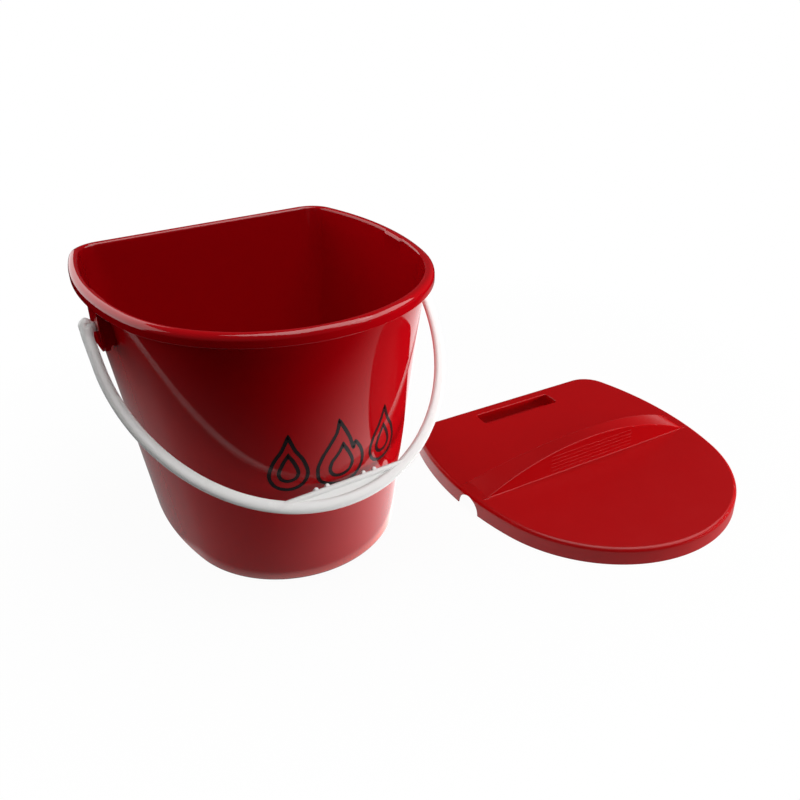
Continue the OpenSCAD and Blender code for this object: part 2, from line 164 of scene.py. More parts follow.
# Distances from that middle over which the painted reflection, the painted pool of light in the paper's
# colour and the shaded floor fade
PAINTED_REFLECTION_FADE, PAINTED_POOL_FADE, SHADE_FADE = (0.52, 0.22), (0.62, 0.3), (0.22, 0.52)
# Places along X, in metres, and how bright reflections see the floor at the left and the right one: a painted
# reflection that is brighter on the right
RIGHT_FADE, PAINTED_REFLECTION_BRIGHTNESS = (-0.12, 0.15), (0.26, 1.5)
# The camera sees this share of white near the object, and the rest is the paper with its shadow
WHITE_NEAR, WHITE_FAR = 0.96, 1.0
# Glowing band that only reflections see, a painted highlight along the foot, in millimetres from the foot:
# it is full between the first two distances and gone at the third
BAND_START, BAND_FULL, BAND_END = 3, 4, 12
# Places along X, in metres, between which it grows to its full share
BAND_LEFT_FADE, BAND_LEFT_SHARE, FOOT_HIGHLIGHT_BRIGHTNESS = (-0.11, -0.03), 0.2, 2.3
# Pink tint of the painted highlight along the foot
FOOT_HIGHLIGHT_COLOUR = (1, 0.55, 0.5, 1)
PAPER_WHITE = (0.8, 0.8, 0.8, 1)
ROOM_BRIGHTNESS, ROOM_IN_GLOSS = 0.05, 0.01
WHITE, BLACK = (1, 1, 1, 1), (0, 0, 0, 1)


def set_camera():
    """The photograph's own view, with its slight roll."""
    yaw, pitch, roll = (math.radians(a) for a in (CAMERA_YAW, CAMERA_PITCH, CAMERA_ROLL))
    forward = Vector((-math.sin(yaw) * math.cos(pitch), math.cos(yaw) * math.cos(pitch), -math.sin(pitch)))
    level = Vector((math.cos(yaw), math.sin(yaw), 0))
    above = level.cross(forward)
    right = level * math.cos(roll) + above * math.sin(roll)
    up = above * math.cos(roll) - level * math.sin(roll)
    turn = Matrix((right, up, -forward)).transposed().to_4x4()
    data = bpy.data.cameras.new("photo_view")
    data.sensor_width = SENSOR_WIDTH
    data.lens = FOCAL_PIXELS * SENSOR_WIDTH / PHOTO_PIXELS
    camera = bpy.data.objects.new("photo_view", data)
    camera.matrix_world = Matrix.Translation(CAMERA_PLACE) @ turn
    scene.collection.objects.link(camera)
    scene.camera = camera


# Finishes


def wire(tree, source, target):
    """Link an output to an input."""
    tree.links.new(source, target)


def noise(tree, place, **settings):
    """Noise that lies still on the object, with its named inputs set."""
    node = tree.nodes.new("ShaderNodeTexNoise")
    for name, value in settings.items():
        node.inputs[name].default_value = value
    wire(tree, place.outputs["Object"], node.inputs["Vector"])
    return node


def colour_mix(tree, share):
    """A node that goes from its first colour to its second by share."""
    node = tree.nodes.new("ShaderNodeMix")
    node.data_type = "RGBA"
    wire(tree, share, node.inputs["Factor"])
    return node


def moulded_surface_group():
    """Soft colour drift, uneven gloss and a faint ripple, as on moulded plastic."""
    group = bpy.data.node_groups.new("moulded_surface", "ShaderNodeTree")
    face = group.interface
    for name, kind, value in (
        ("Colour", "NodeSocketColor", (0.5, 0.5, 0.5, 1)),
        ("Drift Colour", "NodeSocketColor", (0.4, 0.4, 0.4, 1)),
        ("Drift", "NodeSocketFloat", 0.3),
        ("Smooth Roughness", "NodeSocketFloat", 0.1),
        ("Dull Roughness", "NodeSocketFloat", 0.2),
        ("Ripple Scale", "NodeSocketFloat", 60.0),
    ):
        socket = face.new_socket(name=name, in_out="INPUT", socket_type=kind)
        socket.default_value = value
    face.new_socket(name="Colour", in_out="OUTPUT", socket_type="NodeSocketColor")
    face.new_socket(name="Roughness", in_out="OUTPUT", socket_type="NodeSocketFloat")
    face.new_socket(name="Ripple", in_out="OUTPUT", socket_type="NodeSocketFloat")
    given = group.nodes.new("NodeGroupInput")
    result = group.nodes.new("NodeGroupOutput")
    place = group.nodes.new("ShaderNodeTexCoord")

    drift = noise(group, place, Scale=9, Detail=3)
    amount = group.nodes.new("ShaderNodeMath")
    amount.operation = "MULTIPLY"
    wire(group, drift.outputs["Fac"], amount.inputs[0])
    wire(group, given.outputs["Drift"], amount.inputs[1])
    mix = colour_mix(group, amount.outputs[0])
    wire(group, given.outputs["Colour"], mix.inputs[FIRST_COLOUR])
    wire(group, given.outputs["Drift Colour"], mix.inputs[SECOND_COLOUR])
    wire(group, mix.outputs[MIXED_COLOUR], result.inputs["Colour"])

    wear = noise(group, place, Scale=38, Detail=6, Roughness=0.62)
    gloss = group.nodes.new("ShaderNodeMapRange")
    gloss.inputs["From Min"].default_value = 0.35
    gloss.inputs["From Max"].default_value = 0.75
    wire(group, wear.outputs["Fac"], gloss.inputs["Value"])
    wire(group, given.outputs["Smooth Roughness"], gloss.inputs["To Min"])
    wire(group, given.outputs["Dull Roughness"], gloss.inputs["To Max"])
    wire(group, gloss.outputs["Result"], result.inputs["Roughness"])

    ripple = noise(group, place, Detail=2)
    wire(group, given.outputs["Ripple Scale"], ripple.inputs["Scale"])
    wire(group, ripple.outputs["Fac"], result.inputs["Ripple"])
    return group


def moulded_plastic(name, colour, drift_colour, drift, smooth, dull, ripple_scale, ripple_height, ior):
    """A plastic or paint whose colour, gloss and ripple come from the moulded surface."""
    material = bpy.data.materials.new(name)
    material.use_nodes = True
    tree = material.node_tree
    shader = tree.nodes["Principled BSDF"]
    shader.inputs["IOR"].default_value = ior
    surface = tree.nodes.new("ShaderNodeGroup")
    surface.node_tree = moulded_surface
    surface.inputs["Colour"].default_value = (*colour, 1)
    surface.inputs["Drift Colour"].default_value = (*drift_colour, 1)
    surface.inputs["Drift"].default_value = drift
    surface.inputs["Smooth Roughness"].default_value = smooth
    surface.inputs["Dull Roughness"].default_value = dull
    surface.inputs["Ripple Scale"].default_value = ripple_scale
    wire(tree, surface.outputs["Colour"], shader.inputs["Base Color"])
    wire(tree, surface.outputs["Roughness"], shader.inputs["Roughness"])
    bump = tree.nodes.new("ShaderNodeBump")
    bump.inputs["Strength"].default_value = 1
    bump.inputs["Distance"].default_value = ripple_height
    wire(tree, surface.outputs["Ripple"], bump.inputs["Height"])
    wire(tree, bump.outputs["Normal"], shader.inputs["Normal"])
    return material


# Shapes


def between(a, b, share):
    """The value at a share of the way from a to b."""
    return a + (b - a) * share


def rounding(steps=8, start=0, stop=90):
    """Angles in radians from start to stop, given in degrees; a quarter turn unless said otherwise."""
    return [math.radians(between(start, stop, i / steps)) for i in range(steps + 1)]


def gone(angle):
    """How far a quarter round of radius 1 has left the face where it starts."""
    return 1 - math.cos(angle)


def to_go(angle):
    """How far a quarter round of radius 1 still is from the face where it ends."""
    return 1 - math.sin(angle)


def arc(centre, radius, start, stop, steps):
    """Points on an arc, up to but without its last point; angles in degrees."""
    points = []
    for angle in rounding(steps, start, stop)[:-1]:
        points.append((centre[0] + radius * math.cos(angle), centre[1] + radius * math.sin(angle)))
    return points


def circle(radius, steps):
    """Points on a circle round the origin."""
    return arc((0, 0), radius, 0, 360, steps)


def d_size(share):
    """Half the width, the depth and the place of the back of the bucket's D at a share of its height."""
    half = between(BASE_WIDTH, RIM_WIDTH - 2 * RIM_OVERHANG, share) / 2
    depth = between(BASE_DEPTH, RIM_DEPTH - 2 * RIM_OVERHANG, share)
    back = between(BASE_DEPTH / 2, RIM_BACK - RIM_OVERHANG, share)
    return half, depth, back


def d_outline(share, inset):
    """The bucket's D at a share of its height, counter-clockwise from the middle of the front."""
    half, depth, back = d_size(share)
    half, depth, back = half - inset, depth - 2 * inset, back - inset
    side_r = between(BASE_SIDE_RADIUS, RIM_SIDE_RADIUS - RIM_OVERHANG, share) - inset
    corner_r = between(BASE_CORNER_RADIUS, RIM_CORNER_RADIUS - RIM_OVERHANG, share) - inset
    front_r = half - SIDE_BULGE
    front = (0.0, back - depth + front_r)
    turn = -math.acos((side_r - half) / (side_r - front_r))
    side = ((front_r - side_r) * math.cos(turn), front[1] + (front_r - side_r) * math.sin(turn))
    rise = math.asin((back - corner_r - side[1]) / (side_r - corner_r))
    corner = (side[0] + (side_r - corner_r) * math.cos(rise), side[1] + (side_r - corner_r) * math.sin(rise))
    turn, rise = math.degrees(turn), math.degrees(rise)
    right = (
        arc(front, front_r, -90, turn, FRONT_STEPS)
        + arc(side, side_r, turn, rise, SIDE_STEPS)
        + arc(corner, corner_r, rise, 90, CORNER_STEPS)
        + [(corner[0] * (1 - i / BACK_STEPS), back) for i in range(BACK_STEPS)]
    )
    return right + [(0.0, back)] + [(-x, y) for x, y in reversed(right[1:])]


def d_ring(share, inset, z):
    """The D at a share of the height, drawn in by inset, as a ring at the height z."""
    return [(x, y, z) for x, y in d_outline(share, inset)]


def wall_ring(inset, z):
    """A ring that lies inset from the wall's outer face, at the height z of the drafted wall."""
    return d_ring(z / BUCKET_HEIGHT, inset, z)


def rim_ring(grow, z):
    """A ring that lies grow outside the rim's outer edge."""
    return d_ring(1, -RIM_OVERHANG - grow, z)


def skin(rings, closed=False):
    """Quads through rings of equally many points; the ends are capped unless it closes on itself."""
    count, rows = len(rings[0]), len(rings)
    points = [p for ring in rings for p in ring]
    faces = []
    for row in range(rows if closed else rows - 1):
        low, high = row * count, (row + 1) % rows * count
        for i in range(count):
            j = (i + 1) % count
            faces.append((low + i, low + j, high + j, high + i))
    if not closed:
        faces.append(tuple(reversed(range(count))))
        faces.append(tuple(range((rows - 1) * count, rows * count)))
    return points, faces


def solid(name, points, faces):
    """An object in metres from points in millimetres, with its faces turned outwards."""
    mesh = bpy.data.meshes.new(name)
    mesh.from_pydata([(x * MM, y * MM, z * MM) for x, y, z in points], [], faces)
    work = bmesh.new()
    work.from_mesh(mesh)
    bmesh.ops.remove_doubles(work, verts=work.verts, dist=SAME_POINT)
    bmesh.ops.recalc_face_normals(work, faces=work.faces)
    work.to_mesh(mesh)
    work.free()
    thing = bpy.data.objects.new(name, mesh)
    scene.collection.objects.link(thing)
    return thing


def soften(thing, radius):
    """Round the sharp edges of a block."""
    work = bmesh.new()
    work.from_mesh(thing.data)
    least = math.radians(SOFTEN_FROM)
    bmesh.ops.bevel(
        work,
        geom=[e for e in work.edges if e.is_manifold and e.calc_face_angle() > least],
        offset=radius * MM,
        segments=SOFTEN_STEPS,
        profile=0.5,
        affect="EDGES",
        clamp_overlap=True,
    )
    work.to_mesh(thing.data)
    work.free()


def prism(name, outline, depth, matrix, edge=0.0):
    """A straight block over a flat outline, standing on z = 0, with its sharp edges softened by edge."""
    low = [(x, y, 0) for x, y in outline]
    high = [(x, y, depth) for x, y in outline]
    block = solid(name, *skin([low, high]))
    if edge:
        soften(block, edge)
    block.data.transform(matrix)
    return block


def turned(name, profile):
    """A body of revolution about X from (x, radius) pairs."""
    turns = [2 * math.pi * k / TURN_STEPS for k in range(TURN_STEPS)]
    rings = [[(x, radius * math.cos(t), radius * math.sin(t)) for t in turns] for x, radius in profile]
    return solid(name, *skin(rings))


def placed(x=0.0, y=0.0, z=0.0, turn=None):
    """A move by millimetres, after a turn where one is given."""
    return Matrix.Translation((x * MM, y * MM, z * MM)) @ (turn or Matrix.Identity(4))


def combine(target, tool, operation):
    """Join the tool to the target, or cut the target with it, and use the tool up."""
    step = target.modifiers.new("combine", "BOOLEAN")
    step.operation = operation
    step.object = tool
    step.solver = "EXACT"
    merged = bpy.data.meshes.new_from_object(target.evaluated_get(bpy.context.evaluated_depsgraph_get()))
    target.modifiers.clear()
    target.data = merged
    bpy.data.objects.remove(tool)


def finished(thing, material, body, angle=34):
    """Smooth shading with edges sharper than angle kept, the finish, and the body it moves with."""
    thing.data.materials.clear()
    thing.data.materials.append(material)
    thing.data.shade_smooth()
    thing.data.set_sharp_from_angle(angle=math.radians(angle))
    for face in thing.data.polygons:
        face.use_smooth = face.area < FLAT_AREA
    even = thing.modifiers.new("even_normals", "WEIGHTED_NORMAL")
    even.keep_sharp = True
    even.weight = 60
    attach(thing, body)
    return thing


# Bucket


def lip_ring(angle):
    """The rounded inner edge of the rim, which reaches further in beside the two lugs."""
    ring = []
    for (x, y), (crest_x, crest_y) in zip(d_outline(1, WALL), d_outline(1, WALL - LIP_RADIUS)):
        beside_lug = abs(x) > PAD_SIDE and PAD_FRONT < y < PAD_BACK
        share = 1 - (PAD_REACH if beside_lug else 1.0) * math.sin(angle)
        drop = LIP_RADIUS * gone(angle) * (PAD_DROP if beside_lug else 1.0)
        ring.append((between(x, crest_x, share), between(y, crest_y, share), BUCKET_HEIGHT - drop))
    return ring


def bucket_shell():
    """Foot ring, drafted wall, rim with its hanging skirt, inner wall and floor, as one closed skin."""
    ring_in = FOOT_RADIUS + FOOT_RING
    rings = [d_ring(0, ring_in + BASE_FLAT, BASE_RECESS), d_ring(0, ring_in, BASE_RECESS)]
    rings += [d_ring(0, ring_in - FOOT_EDGE * math.sin(a), FOOT_EDGE * math.cos(a)) for a in rounding(3)]
    rings += [wall_ring(FOOT_RADIUS * to_go(a), FOOT_RADIUS * gone(a)) for a in rounding(10)]

    top = BUCKET_HEIGHT
    wall_top = top - RIM_THICKNESS
    heights = [between(FOOT_RADIUS, wall_top, i / WALL_STEPS) for i in range(1, WALL_STEPS + 1)]
    rings += [wall_ring(0, z) for z in heights]
    for a in rounding(6):
        rings.append(rim_ring(-RIM_THICKNESS - UNDER_RADIUS * to_go(a), wall_top - UNDER_RADIUS * gone(a)))

    edge, edge_z = SKIRT_EDGE, top - RIM_SKIRT + SKIRT_EDGE
    rings += [rim_ring(-RIM_THICKNESS, edge_z)]
    rings += [rim_ring(-edge - edge * math.cos(a), edge_z - edge * math.sin(a)) for a in rounding(4)]
    rings += [rim_ring(-edge + edge * math.sin(a), edge_z - edge * math.cos(a)) for a in rounding(4)]
    rings += [rim_ring(-RIM_RADIUS * gone(a), top - RIM_RADIUS * to_go(a)) for a in rounding(10)]
    rings += [lip_ring(a) for a in rounding(7)]

    inside = BASE_RECESS + FLOOR_THICKNESS
    radius = FOOT_RADIUS - WALL
    heights = [between(top - LIP_RADIUS, inside + radius, i / WALL_STEPS) for i in range(1, WALL_STEPS)]
    rings += [wall_ring(WALL, z) for z in heights]
    rings += [wall_ring(WALL + radius * gone(a), inside + radius * to_go(a)) for a in rounding(8)]
    rings += [d_ring(0, WALL + radius + FLOOR_FLAT, inside)]
    return solid("bucket_shell", *skin(rings))


def wall_side(y, z):
    """The x of the wall's outer face at the side, at y and z."""
    ring = sorted((p[1], p[0]) for p in wall_ring(0, z) if p[0] > SIDE_FROM)
    for (y0, x0), (y1, x1) in zip(ring, ring[1:]):
        if y0 <= y <= y1:
            return between(x0, x1, (y - y0) / (y1 - y0))


def lug_web(y, low, top):
    """A web that ties the lug's plate to the wall at y, with a scalloped lower edge."""
    span = LUG_INNER - (wall_side(y, low + WEB_FOOT) - WEB_ROOT)
    edge = [(LUG_INNER + WEB_ROOT, low + WEB_START)]
    edge += [(LUG_INNER - share * span, low + rise) for share, rise in WEB_SCALLOP]
    edge += [(wall_side(y, top) - WEB_ROOT, top), (LUG_INNER + WEB_ROOT, top)]
    return prism("web", edge, WEB_THICKNESS, placed(0, y + WEB_THICKNESS / 2, 0, UPRIGHT), WEB_EDGE)


def lug(side):
    """A plate under the rim with a bore for the peg, tied to the wall by two webs."""
    top = BUCKET_HEIGHT - RIM_THICKNESS - LUG_TOP_GAP
    low = HINGE_Z - LUG_DROP
    half, r = LUG_WIDTH / 2, LUG_CORNER
    outline = [(-half, top), (-half, low + r)]
    outline += [(-half + r - r * math.cos(a), low + r - r * math.sin(a)) for a in rounding(8)[1:]]
    outline += [(half - r + r * math.sin(a), low + r - r * math.cos(a)) for a in rounding(8)]
    outline += [(half, top)]
    plate = prism("lug", outline, LUG_THICKNESS, placed(LUG_INNER, HINGE_Y, 0, ALONG_X), LUG_EDGE)
    at_bore = placed(LUG_INNER - LUG_THICKNESS, HINGE_Y, HINGE_Z, ALONG_X)
    combine(plate, prism("bore", circle(BORE_RADIUS, 48), 3 * LUG_THICKNESS, at_bore), "DIFFERENCE")
    for place in (-WEB_PLACE, WEB_PLACE):
        combine(plate, lug_web(HINGE_Y + place, low, top), "UNION")
    if side < 0:
        plate.data.transform(Matrix.Scale(-1, 4, (1, 0, 0)))
        plate.data.flip_normals()
    plate.name = "lug_right" if side > 0 else "lug_left"
    return plate


# Bail


def rounded_section(width, thick, count, squareness):
    """Points round a section between an ellipse and a rounded box."""
    points = []
    for i in range(count):
        a = 2 * math.pi * i / count
        c, s = math.cos(a), math.sin(a)
        across = math.copysign(abs(c) ** (2 / squareness), c) * width / 2
        points.append((across, math.copysign(abs(s) ** (2 / squareness), s) * thick / 2))
    return points


def bail_ring(place, outward, width, thick, squareness=BAIL_SQUARENESS):
    """A section of the strip at (x, z), with its width along outward."""
    section = rounded_section(width, thick, BAIL_POINTS, squareness)
    return [(place[0] + outward[0] * w, t, place[1] + outward[1] * w) for w, t in section]


def bail_arm():
    """Rings of the left arm: the hub's rounded end, the neck below it and the plain strip."""
    outward = (-1, 0)
    rings = []
    for a in rounding(14, 4, 90):
        place = (HUB_INWARD - ARM_MIDDLE, HUB_REACH - HUB_END * gone(a))
        thick = HUB_THICKNESS * between(HUB_TIP, 1, math.sin(a) ** HUB_FULLNESS)
        rings.append(bail_ring(place, outward, HUB_WIDTH * math.sin(a), thick, HUB_SQUARENESS))
    for k in range(1, NECK_RINGS + 1):
        share = 0.5 - 0.5 * math.cos(math.pi * k / NECK_RINGS)
        place = (between(HUB_INWARD, 0, share) - ARM_MIDDLE, HUB_REACH - HUB_END - NECK_STEP * k)
        width = between(HUB_WIDTH, ARM_WIDTH, share)
        thick = between(HUB_THICKNESS, BAIL_THICKNESS, share)
        squareness = between(HUB_SQUARENESS, BAIL_SQUARENESS, share)
        rings.append(bail_ring(place, outward, width, thick, squareness))
    rings += [bail_ring((-ARM_MIDDLE, z), outward, ARM_WIDTH, BAIL_THICKNESS) for z in ARM_RING_PLACES]
    return rings


def bail_curve():
    """Rings round the half ellipse from the left arm to the right one."""
    rings = []
    for i in range(CURVE_STEPS + 1):
        a = math.pi + math.pi * i / CURVE_STEPS
        outward = Vector((CURVE_DEPTH * math.cos(a), ARM_MIDDLE * math.sin(a))).normalized()
        width = between(ARM_WIDTH, BAND_WIDTH, math.sqrt(max(0.0, -math.sin(a))))
        place = (ARM_MIDDLE * math.cos(a), CURVE_DEPTH * math.sin(a) - ARM_LENGTH)
        rings.append(bail_ring(place, outward, width, BAIL_THICKNESS))
    return rings


def bail_band():
    """The strip of the bail, whose two ends swell into rounded hubs with a small moulding dimple."""
    arm = bail_arm()
    rings = arm + bail_curve() + [[(-x, y, z) for x, y, z in ring] for ring in reversed(arm)]
    band = solid("bail", *skin(rings))
    for v in band.data.vertices:
        x, y, z = abs(v.co.x) / MM - ARM_MIDDLE + HUB_INWARD, v.co.y / MM, v.co.z / MM
        if y < FACE_FROM:
            fade = math.exp(-((x / DIMPLE_WIDTH) ** 2) - ((z / DIMPLE_HEIGHT) ** 2))
            v.co.y += DIMPLE_DEPTH * fade * MM
    return band


def grip():
    """The inner bar of the grip, the thin web between it and the strip, and two pairs of finger ribs."""
    inner = ARM_LENGTH + CURVE_DEPTH + BAND_WIDTH / 2 - GRIP_DEPTH
    middle = inner + GRIP_BAR / 2
    reach = ARM_MIDDLE * math.sqrt(1 - ((middle - ARM_LENGTH) / CURVE_DEPTH) ** 2)
    section = rounded_section(GRIP_BAR, BAIL_THICKNESS, BAR_POINTS, BAIL_SQUARENESS)
    rings = []
    for i in range(GRIP_BAR_STEPS + 1):
        x = between(-reach, reach, i / GRIP_BAR_STEPS)
        rings.append([(x, t, -middle + w) for w, t in section])
    bar = solid("grip", *skin(rings))
    fill = []
    for i in range(GRIP_WEB_STEPS + 1):
        x = between(-reach, reach, i / GRIP_WEB_STEPS)
        fill.append((x, -ARM_LENGTH - CURVE_DEPTH * math.sqrt(1 - (x / ARM_MIDDLE) ** 2)))
    combine(bar, prism("web", fill, GRIP_WEB, placed(0, GRIP_WEB / 2, 0, UPRIGHT)), "UNION")
    depth = BAIL_THICKNESS - RIB_INSET
    for side in (-1, 1):
        for place in RIB_PLACES:
            at_rib = placed(side * place + RIB_SHIFT, depth / 2, -inner, UPRIGHT)
            combine(bar, prism("rib", circle(GRIP_RIB, 24), depth, at_rib, RIB_EDGE), "UNION")
    return bar


def peg(side):
    """The shoulder inside each hub, and the peg through the lug with its head."""
    outer, inner = LUG_OUTER + SIDE_GAP, LUG_INNER - SIDE_GAP
    profile = [
        (ARM_INNER + PEG_ROOT, SHOULDER_END_RADIUS),
        (ARM_INNER + SHOULDER_EDGE, SHOULDER_RADIUS),
        (outer + SHOULDER_EDGE, SHOULDER_RADIUS),
        (outer, SHOULDER_END_RADIUS),
        (outer, PEG_RADIUS),
        (inner, PEG_RADIUS),
    ]
    profile += [(inner - past, radius) for past, radius in PEG_HEAD]
    return turned("peg_right" if side > 0 else "peg_left", [(side * x, r) for x, r in profile])


# Lid


def ridge_arc_radius(bulge):
    """Radius of the arc that spans the ridge's length and bulges by bulge."""
    return ((RIDGE_LENGTH / 2) ** 2 + bulge**2) / (2 * bulge)


def arch_z(x, drop=0.0):
    """Height of the ridge's arched top at x, or of an arch that lies drop inside it."""
    radius = ridge_arc_radius(RIDGE_HEIGHT)
    return LID_HEIGHT + RIDGE_HEIGHT - radius + math.sqrt(max(0.0, (radius - drop) ** 2 - x * x))


def rear_y(x, inset=0.0):
    """Place of the ridge's bowed rear face at x, or of a face that lies inset inside it."""
    radius = ridge_arc_radius(RIDGE_END - RIDGE_WAIST)
    return RIDGE_WAIST - RIDGE_FORWARD + radius - math.sqrt((radius + inset) ** 2 - x * x)


def ridge_body():
    """The arch across the lid: a straight front face, a rear face that bows in, soft edges and foot."""
    rings = []
    half = RIDGE_LENGTH / 2
    reach = half + RIDGE_OVERRUN
    low, level = LID_HEIGHT - RIDGE_ROOT, LID_HEIGHT - RIDGE_LIFT
    for i in range(RIDGE_STEPS + 1):
        x = -reach * math.cos(math.pi * i / RIDGE_STEPS)
        crest = arch_z(x) if abs(x) < half else LID_HEIGHT - RIDGE_DIVE * (abs(x) - half)
        front, rear = -RIDGE_FORWARD, rear_y(max(-half, min(half, x)))
        height = max(0.0, crest - LID_HEIGHT)
        edge = min(RIDGE_EDGE, height * EDGE_SHARE)
        foot = min(RIDGE_FOOT, height * FOOT_SHARE)
        ring = [(x, front - foot, low), (x, front - foot, level)]
        ring += [(x, front - foot * to_go(a), LID_HEIGHT + foot * gone(a)) for a in rounding(5)[1:]]
        ring += [(x, front + edge * gone(a), crest - edge * to_go(a)) for a in rounding(5)]
        ring += [(x, rear - edge * to_go(a), crest - edge * gone(a)) for a in rounding(5)]
        ring += [(x, rear + foot * gone(a), LID_HEIGHT + foot * to_go(a)) for a in rounding(5)[:-1]]
        ring += [(x, rear + foot, level), (x, rear + foot, low)]
        rings.append(ring)
    return solid("ridge", *skin(rings))


def ridge_hollow():
    """The space inside the ridge, open below."""
    rings = []
    reach = RIDGE_LENGTH / 2 - HOLLOW_SETBACK
    under = LID_HEIGHT - LID_THICKNESS
    for i in range(HOLLOW_STEPS + 1):
        x = between(-reach, reach, i / HOLLOW_STEPS)
        crest = max(under + HOLLOW_RISE, arch_z(x, RIDGE_WALL))
        front, rear = RIDGE_WALL - RIDGE_FORWARD, rear_y(x, RIDGE_WALL)
        low = under - OVERCUT
        rings.append([(x, front, low), (x, front, crest), (x, rear, crest), (x, rear, low)])
    return solid("hollow", *skin(rings))


def rounded_box(length, width, corner):
    """An oblong with rounded corners, counter-clockwise round the origin."""
    points = []
    for sx, sy, start in ((1, 1, 0), (-1, 1, 90), (-1, -1, 180), (1, -1, 270)):
        cx, cy = sx * (length / 2 - corner), sy * (width / 2 - corner)
        turns = rounding(6, start, start + 90)
        points += [(cx + corner * math.cos(a), cy + corner * math.sin(a)) for a in turns]
    return points


def slot_block(grow, low, high, lip=0.0):
    """The finger slot's own shape, grown by grow, with a rounded lip where it meets the top."""
    y0 = RIM_BACK - SLOT_SETBACK - SLOT_WIDTH / 2
    levels = [(grow, low)]
    if lip:
        levels += [(grow + lip * gone(a), high - lip + lip * math.sin(a)) for a in rounding(5)]
        levels += [(grow + lip, high + 2 * OVERCUT)]
    else:
        levels += [(grow, high)]
    rings = []
    for more, z in levels:
        outline = rounded_box(SLOT_LENGTH + 2 * more, SLOT_WIDTH + 2 * more, SLOT_CORNER + more)
        rings.append([(x, y0 + y, z) for x, y in outline])
    return solid("slot", *skin(rings))


def lid_plate():
    """The lid's flat top and hanging skirt, without what is joined to it or cut out of it."""
    grow, flared, edge = LID_GAP + SKIRT_WALL, LID_GAP + LID_FLARE, LID_EDGE
    under = LID_HEIGHT - LID_THICKNESS
    rings = [rim_ring(LID_GAP - LID_UNDER_FLAT, under)]
    for a in rounding(4):
        rings.append(rim_ring(LID_GAP - LID_INNER_RADIUS * to_go(a), under - LID_INNER_RADIUS * gone(a)))
    rings += [rim_ring(flared, edge), rim_ring(flared + edge, 0)]
    rings += [rim_ring(grow + LID_FLARE - edge, 0), rim_ring(grow + LID_FLARE, edge)]
    side = LID_HEIGHT - LID_RADIUS
    rings += [rim_ring(grow + LID_FLARE * (1 - k / 4), between(edge, side, k / 4)) for k in range(1, 4)]
    rings += [rim_ring(grow - LID_RADIUS * gone(a), LID_HEIGHT - LID_RADIUS * to_go(a)) for a in rounding(12)]
    rings += [rim_ring(grow - LID_RADIUS - LID_TOP_FLAT, LID_HEIGHT)]
    return solid("lid_cover", *skin(rings))


def lid_cover():
    """The lid with its hollow ridge, its finger slot and a round notch for each lug."""
    cover = lid_plate()
    combine(cover, ridge_body(), "UNION")
    pocket = slot_block(SLOT_WALL, LID_HEIGHT - SLOT_DEPTH - SLOT_WALL, LID_HEIGHT - POCKET_SETBACK)
    combine(cover, pocket, "UNION")
    combine(cover, ridge_hollow(), "DIFFERENCE")
    combine(cover, slot_block(0, LID_HEIGHT - SLOT_DEPTH, LID_HEIGHT, SLOT_LIP), "DIFFERENCE")
    radius = LUG_WIDTH / 2 + NOTCH_GAP
    notch = turned("notch", [(-NOTCH_REACH, radius), (NOTCH_REACH, radius)])
    notch.data.transform(placed(0, HINGE_Y, 0))
    combine(cover, notch, "DIFFERENCE")
    return cover


def grip_lines():
    """Five fine lines that give the fingers hold on the front face of the ridge."""
    lines = []
    half = LINE_LENGTH / 2
    profile = [(-half - LINE_RADIUS * math.cos(a), LINE_RADIUS * math.sin(a) + LINE_TIP) for a in rounding(4)]
    profile += [(-x, r) for x, r in reversed(profile)]
    for k in range(1, LINE_COUNT + 1):
        line = turned("line", profile)
        line.data.transform(placed(0, -RIDGE_FORWARD, LID_HEIGHT + k * LINE_PITCH))
        lines.append(line)
    first = lines[0]
    for other in lines[1:]:
        combine(first, other, "UNION")
    first.name = "ridge_lines"
    return first


# Painted outlines on the wall


def wall_spot(along, z, lift):
    """A point on the front of the wall, along it from the middle, raised by lift."""
    half, depth, back = d_size(z / BUCKET_HEIGHT)
    radius = half - SIDE_BULGE
    a = along / radius
    return (math.sin(a) * (radius + lift), back - depth + radius - math.cos(a) * (radius + lift), z)


def smooth_loop(points):
    """A closed curve through the points; a point given twice stays a corner."""
    out = []
    n = len(points)
    for i in range(n):
        p0, p1, p2, p3 = (Vector(points[(i + k) % n]) for k in (-1, 0, 1, 2))
        if (p2 - p1).length < SAME_CORNER:
            continue
        for s in range(PAINT_STEPS):
            t = s / PAINT_STEPS
            out.append(
                0.5
                * (
                    2 * p1
                    + (p2 - p0) * t
                    + (2 * p0 - 5 * p1 + 4 * p2 - p3) * t * t
                    + (3 * p1 - p0 - 3 * p2 + p3) * t**3
                )
            )
    return out


def painted_line(name, points, centre):
    """A closed painted line of even width that follows the wall."""
    loop = [Vector((p[0] + centre[0], p[1] + centre[1])) for p in smooth_loop(points)]
    n = len(loop)
    rings = []
    for i in range(n):
        ahead, behind = (loop[(i + 1) % n] - loop[i]).normalized(), (loop[i] - loop[i - 1]).normalized()
        tangent = (ahead + behind).normalized()
        spread = PAINT_WIDTH / 2 / max(SPIKE_LIMIT, ahead.dot(tangent))
        normal = Vector((tangent.y, -tangent.x))
        outer, inner = loop[i] + normal * spread, loop[i] - normal * spread
        corners = ((outer, -PAINT_ROOT), (outer, PAINT_HEIGHT), (inner, PAINT_HEIGHT), (inner, -PAINT_ROOT))
        rings.append([wall_spot(spot.x, spot.y, lift) for spot, lift in corners])
    return solid(name, *skin(rings, closed=True))


